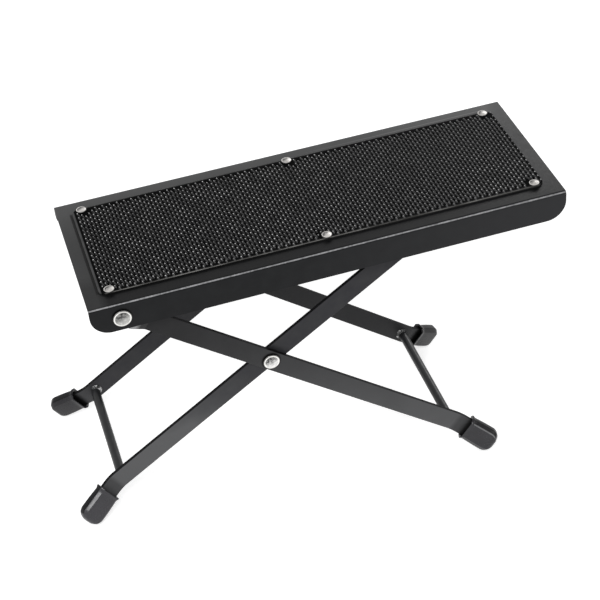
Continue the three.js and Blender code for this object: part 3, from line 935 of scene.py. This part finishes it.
def build_weld(node, body, place, rod_node, side):
    """A rippled bead round the upper half of a rod's end."""
    low, high = local_box(node, place)
    rod_box = local_box(rod_node, place)
    middle = (rod_box[0] + rod_box[1]) / 2
    inner = (rod_box[1].x - rod_box[0].x) / 2
    size = high.y - low.y
    away = 1 if side == "front" else -1
    wall = low.y if side == "front" else high.y
    start, end = (math.radians(angle) for angle in WELD_ARC)
    rings = []
    for i in range(WELD_RINGS + 1):
        share = i / WELD_RINGS
        angle = start + (end - start) * share
        ripple = WELD_RIPPLE[0] + WELD_RIPPLE[1] * abs(math.cos(WELD_RIPPLES * math.pi * share))
        taper = min(1, WELD_TAPER * share, WELD_TAPER * (1 - share)) ** 0.5
        reach = max(size * ripple * taper, WELD_END * MM)
        out = Vector((math.cos(angle), 0, math.sin(angle)))
        back = Vector((0, away, 0))
        hub = Vector((middle.x, wall, middle.z)) + out * inner
        ring = []
        for k in range(WELD_STEPS + 1):
            bend = math.radians(90) * k / WELD_STEPS
            bulge = WELD_SECTION[0] + WELD_SECTION[1] * math.cos(2 * bend) ** 2
            ring.append(hub + out * reach * bulge * math.cos(bend) + back * reach * bulge * math.sin(bend))
        ring.append(hub)
        rings.append(ring)
    paint = weld_paint(node + "_paint", place, middle.x)
    piece = loft(node + "_bead", rings, place, paint)
    settle(piece, body, "steel_paint", node)


def build_rods():
    """The cross rods with the weld at each end."""
    legs = {
        "outer_lower_rod": ("outer_rod_weld", "outer_legs", outer_frame),
        "inner_lower_rod": ("inner_rod_weld", "inner_legs", inner_frame),
        "upper_rod": ("upper_rod_weld", "inner_legs", inner_frame),
    }
    for rod, (weld, body, place) in legs.items():
        build_rod(rod, body, place)
        for side in SIDES:
            build_weld(f"{weld}_{side}", body, place, rod, side)


# Boots

def rounded_section(half_y, half_z):
    """Points round a rectangle whose corners are cut off at a slant and softened, as (y, z)."""
    blend = BOOT_EDGE_SOFT * math.tan(math.radians(22.5))
    scale = min(MM, BOOT_EDGE_LIMIT * min(half_y, half_z) / (BOOT_EDGE_CUT + blend))
    soft, corner = BOOT_EDGE_SOFT * scale, (BOOT_EDGE_CUT + blend) * scale
    points = []
    for turn, (sign_y, sign_z) in enumerate(((1, 1), (-1, 1), (-1, -1), (1, -1))):
        hubs = [(half_y - soft, half_z - corner), (half_y - corner, half_z - soft)]
        if turn % 2:
            hubs.reverse()
        for part, (hub_y, hub_z) in enumerate(hubs):
            for k in range(BOOT_EDGE_POINTS):
                angle = math.radians(90 * turn + 45 * (part + k / (BOOT_EDGE_POINTS - 1)))
                point_y = sign_y * hub_y + soft * math.cos(angle)
                points.append((point_y, sign_z * hub_z + soft * math.sin(angle)))
    return points


def scoop(x, z, half_z):
    """How far the mouth's edge is set back on the broad sides of a boot, for a point near the mouth."""
    near, far = (half_z - side * MM for side in BOOT_SCOOP_SIDES)
    share = min(1, max(0, (far - abs(z)) / (far - near)))
    fade = max(0, 1 - x / (BOOT_SCOOP_FADE * MM))
    return BOOT_SCOOP * MM * share * share * (3 - 2 * share) * fade


def boot_rings(length, half_y, half_z):
    """Rings of a slip-on boot from the bottom of its socket, out over the rim and round the toe."""
    rim = BOOT_RIM_RADIUS * MM
    bulge = BOOT_RIM_BULGE * MM
    wall = BOOT_MOUTH_WALL * MM
    draft = BOOT_MOUTH_DRAFT * MM
    socket_y, socket_z = (half * MM for half in BOOT_SOCKET_HALF)
    mouth_y, mouth_z = half_y - wall - rim, half_z - wall
    stations = [
        (BOOT_SOCKET_DEPTH * MM, socket_y, socket_z),
        (BOOT_MOUTH_DEPTH * MM * BOOT_MOUTH_TAPER, socket_y, socket_z),
        (BOOT_MOUTH_DEPTH * MM, mouth_y - draft, mouth_z - draft),
        (rim, mouth_y, mouth_z),
    ]
    for k in range(1, BOOT_RIM_STEPS + 1):
        angle = math.radians(180) * k / BOOT_RIM_STEPS
        out = (1 - math.cos(angle)) / 2
        stations.append((
            rim * (1 - math.sin(angle)),
            mouth_y + (half_y + bulge - mouth_y) * out,
            mouth_z + (half_z + bulge - mouth_z) * out,
        ))
    behind, left = BOOT_RIM_END
    stations.append((behind * rim, half_y + left * bulge, half_z + left * bulge))
    toe, tip = BOOT_TOE_RADIUS * MM, BOOT_TIP_RADIUS * MM
    for share, trim in (*BOOT_NECK, ((length - toe) / length, 0)):
        stations.append((length * share, half_y - trim * MM, half_z - trim * MM))
    for k in range(1, BOOT_TOE_STEPS + 1):
        angle = math.radians(90) * k / BOOT_TOE_STEPS
        x = length - toe + toe * math.sin(angle)
        wide = half_z - toe + toe * math.cos(angle)
        over = max(0, x - (length - tip)) / tip
        thick = half_y - tip + tip * math.sqrt(max(0, 1 - over * over))
        stations.append((x, thick, wide))
    rings = []
    for i, (x, y, z) in enumerate(stations):
        section = rounded_section(y, z)
        rings.append([(x + (scoop(x, b, half_z) if i > 1 else 0), a, b) for a, b in section])
    return rings


def shade_boot(piece, place, painted_edge):
    """Paints shade on a boot's narrow sides, and on one boot shade on its slants and a highlight on its upper
    front edge.
    """
    for material in BOOT_PAINTED_LIGHT_AND_SHADE:
        piece.data.materials.append(material)
    inwards = place.inverted()
    for face in piece.data.polygons:
        normal = inwards.to_3x3() @ face.normal
        outside = (inwards @ face.center).x > BOOT_RIM_RADIUS * MM
        # Painted shade on the narrow sides and, on one boot, on the slants
        if abs(normal.z) > BOOT_SIDE_LEAN:
            face.material_index = 1
        elif painted_edge and outside and abs(normal.z) > BOOT_SLANT_LEAN:
            face.material_index = 2
        # Painted highlight along the upper front edge
        elif painted_edge and outside and abs(normal.x) < BOOT_TOE_LEAN and abs(normal.z) > BOOT_EDGE_LEAN:
            if face.normal.z > 0 and face.normal.y < 0:
                face.material_index = 3


def build_boots():
    """The four rubber feet."""
    legs = {"right": ("outer_legs", outer_frame), "left": ("inner_legs", inner_frame)}
    for end, (body, leg) in legs.items():
        for side in SIDES:
            node = f"{end}_boot_{side}"
            splayed = splayed_frame(leg, node)
            low, high = local_box(node, splayed)
            middle = (low + high) / 2
            size = high - low
            place = splayed @ Matrix.Translation((low.x, middle.y, middle.z))
            rings = boot_rings(size.x, size.y / 2, size.z / 2)
            rubber = plain(f"boot_{end}_{side}")
            piece = loft(node + "_moulded", rings, place, rubber, BOOT_SMOOTH_ANGLE)
            shade_boot(piece, place, node == "right_boot_front")
            settle(piece, body, "boot_rubber", node)


# Mat

def mat_outline(half_x, half_y, radius):
    """Corner points of the mat round its middle."""
    points = []
    for turn, (sign_x, sign_y) in enumerate(((1, 1), (-1, 1), (-1, -1), (1, -1))):
        for k in range(MAT_CORNER_STEPS + 1):
            angle = math.radians(90) * (turn + k / MAT_CORNER_STEPS)
            points.append((
                sign_x * (half_x - radius) + radius * math.cos(angle),
                sign_y * (half_y - radius) + radius * math.sin(angle),
            ))
    return points


def inside_mat(x, y, half_x, half_y, gap):
    """True if a stud of that clearance lies within the mat's outline."""
    radius = MAT_CORNER_RADIUS * MM
    over_x = max(0, abs(x) - (half_x - radius))
    over_y = max(0, abs(y) - (half_y - radius))
    return math.hypot(over_x, over_y) <= radius - gap


def build_mat():
    """The mat's sheet, with a painted highlight along the top edge of its long sides, and the studs on it."""
    low, high = local_box("mat", tray_frame)
    middle = (low + high) / 2
    half_x, half_y = (high.x - low.x) / 2, (high.y - low.y) / 2
    place = tray_frame @ Matrix.Translation(Vector((middle.x, middle.y, 0)))
    top = high.z - STUD_HEIGHT * MM
    soft = MAT_EDGE_SOFT * MM
    knee = soft * MAT_EDGE_KNEE
    rings = []
    for inset, height in ((0, low.z), (0, top - soft), (knee, top - knee), (soft, top)):
        outline = mat_outline(half_x - inset, half_y - inset, MAT_CORNER_RADIUS * MM - inset)
        rings.append([(x, y, height) for x, y in outline])
    sheet = loft("mat_sheet", rings, place, MAT_GROUND)
    sheet.data.materials.append(MAT_EDGE_HIGHLIGHT)
    # Painted highlight on a band along the top edge of the long sides
    level = place.inverted()
    bottom, upper = (top - share * soft for share in MAT_HIGHLIGHT_BAND)
    for face in sheet.data.polygons:
        spot = level @ face.center
        long_edge = abs(spot.y) > half_y - soft and abs(spot.x) < half_x - MAT_HIGHLIGHT_END * soft
        if long_edge and bottom < spot.z < upper:
            face.material_index = 1
    settle(sheet, "platform", "mat_rubber", "mat")
    build_studs(place, half_x, half_y, top, high.z)


def rivet_spots(place):
    """Where the mat's rivets stand, as (x, y) in a frame."""
    spots = []
    for spot in MAT_RIVET_SPOTS:
        for side in SIDES:
            low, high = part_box(f"mat_rivet_{spot}_{side}")
            centre = place.inverted() @ ((low + high) / 2)
            spots.append((centre.x, centre.y))
    return spots


def stud_places(half_x, half_y, rivets, front, tail):
    """Staggered rows of places that lie inside the mat and clear of its rivets.

    Each comes with the share of the tail that has room there."""
    step_x, step_y = STUD_PITCH_X * MM / 2, STUD_PITCH_Y * MM / 2
    rows = int(half_y / step_y)
    columns = int(half_x / step_x)

    def free(point):
        """True if a stud may reach that point."""
        clear = all(math.dist(point[:2], rivet) > STUD_RIVET_GAP * MM for rivet in rivets)
        left, right = STUD_END_GAPS
        bounded = left * MM - half_x < point.x < half_x - right * MM
        if not clear or not bounded or point.y > half_y - STUD_BACK_GAP * MM:
            return False
        return inside_mat(point.x, point.y, half_x, half_y, STUD_EDGE_GAP * MM)

    for row in range(-rows, rows + 1):
        for column in range(-columns, columns + 1):
            spot = Vector((column * step_x, row * step_y, 0))
            if (row + column) % 2 or not free(spot + front):
                continue
            room = next((share for share in STUD_TAILS if free(spot + tail * share)), 0)
            if room:
                yield spot, room


def build_studs(place, half_x, half_y, base, top):
    """Narrow studs, turned a little from the mat's sides, that rise along a tail to a rubbed tip."""
    builder = bmesh.new()
    rng = random.Random(STUD_SEED)
    rise = top - base
    turn = Matrix.Rotation(math.radians(STUD_TURN), 4, "Z")
    levels = (
        (STUD_FOOT, base - STUD_SINK * MM),
        (STUD_FOOT, base),
        (STUD_WAIST, base + STUD_WAIST_RISE * rise),
        (STUD_TIP, base + STUD_TIP_RISE * rise),
    )
    front, tail = (turn @ Vector((0, reach * MM, 0)) for reach in (-STUD_FOOT[1], STUD_FOOT[2]))
    for centre, room in stud_places(half_x, half_y, rivet_spots(place), front, tail):
        scale = rng.uniform(*STUD_SCALES)
        spot = place @ Matrix.Translation(centre) @ turn
        loops = []
        for (wide, before, behind), height in levels:
            loop = []
            for i in range(STUD_SIDES):
                angle = math.tau * i / STUD_SIDES
                reach = behind * room if math.sin(angle) > 0 else before
                along = wide * scale * math.cos(angle) * MM
                across = reach * scale * math.sin(angle) * MM
                loop.append(builder.verts.new(spot @ Vector((along, across, height))))
            loops.append(loop)
        tip = builder.verts.new(spot @ Vector((0, -STUD_TIP[1] / 2 * MM, top)))
        for first, second in zip(loops, loops[1:]):
            for i in range(STUD_SIDES):
                j = (i + 1) % STUD_SIDES
                builder.faces.new((first[i], first[j], second[j], second[i]))
        builder.faces.new(list(reversed(loops[0])))
        for i in range(STUD_SIDES):
            cap = builder.faces.new((loops[-1][i], loops[-1][(i + 1) % STUD_SIDES], tip))
            cap.material_index = 1
    studs = object_of("mat_studs", builder, MAT_RUBBER, MAT_TIP_WEAR_AND_HIGHLIGHT, smooth_angle=STUD_SMOOTH_ANGLE)
    settle(studs, "platform", "mat_rubber")


# Rivets and washers

def rivet_profile(radius, height, shank, tail, length, tail_height):
    """A low dome with a rounded rim, its shank and its formed tail, from the tail's end up."""
    narrow, rounded = RIVET_TAIL_END
    profile = [(0, -length), (tail * narrow, -length), (tail, -length + tail_height * rounded)]
    profile += [(tail, -length + tail_height), (shank, -length + tail_height), (shank, 0)]
    rim = height * RIVET_RIM_SHARE
    hub = (radius - rim, rim)
    profile.append((hub[0] - rim, 0))
    for k in range(RIVET_STEPS + 1):
        angle = math.radians(-90 + 180 * k / RIVET_STEPS)
        profile.append((hub[0] + rim * math.cos(angle), hub[1] + rim * math.sin(angle)))
    inset, lift = RIVET_DOME_FOOT
    dome, foot = hub[0] - inset * rim, lift * rim
    profile.append((dome, foot))
    for k in range(1, RIVET_STEPS + 1):
        share = 1 - k / RIVET_STEPS
        profile.append((dome * share, foot + (height - foot) * (1 - share * share)))
    return profile


def build_rivet(node, body, place, kind):
    """A rivet in a frame whose z axis runs along it and points out of the head."""
    head_height, tail_height, shank, dark_reflection_side = RIVETS[kind]
    low, high = local_box(node, place)
    middle = (low + high) / 2
    radius = (high.x - low.x) / 2
    tail = radius * RIVET_TAIL_SHARE
    head = high.z - head_height * MM
    spot = place @ Matrix.Translation((middle.x, middle.y, head))
    profile = rivet_profile(radius, head_height * MM, shank * MM, tail, head - low.z, tail_height * MM)
    lean = (spot.inverted().to_3x3() @ Vector(dark_reflection_side)).xy.normalized()
    plate = nickel(node + "_nickel", spot, radius, lean, kind)
    piece = turned(node + "_polished", profile, spot, plate, RIVET_SIDES)
    settle(piece, body, "nickel", node)


def build_rivets():
    """Rivets and washers of the crossings and pivots, and the mat's rivets."""
    hinges = (("crossing", "outer_legs", outer_frame), ("pivot", "platform", tray_frame))
    for side in SIDES:
        outward = Matrix.Rotation(math.radians(90 if side == "front" else -90), 4, "X")
        for kind, body, place in hinges:
            build_rivet(f"{kind}_rivet_{side}", body, place @ outward, kind)
            finished(f"{kind}_washer_{side}", body, STEEL, "washer_steel", WASHER_BEVEL)
        for spot in MAT_RIVET_SPOTS:
            build_rivet(f"mat_rivet_{spot}_{side}", "platform", tray_frame, "mat")


build_camera()
build_world()
build_floor()
build_lights()
build_steel()
build_rods()
build_boots()
build_mat()
build_rivets()

bpy.context.scene.view_settings.view_transform = "Standard"
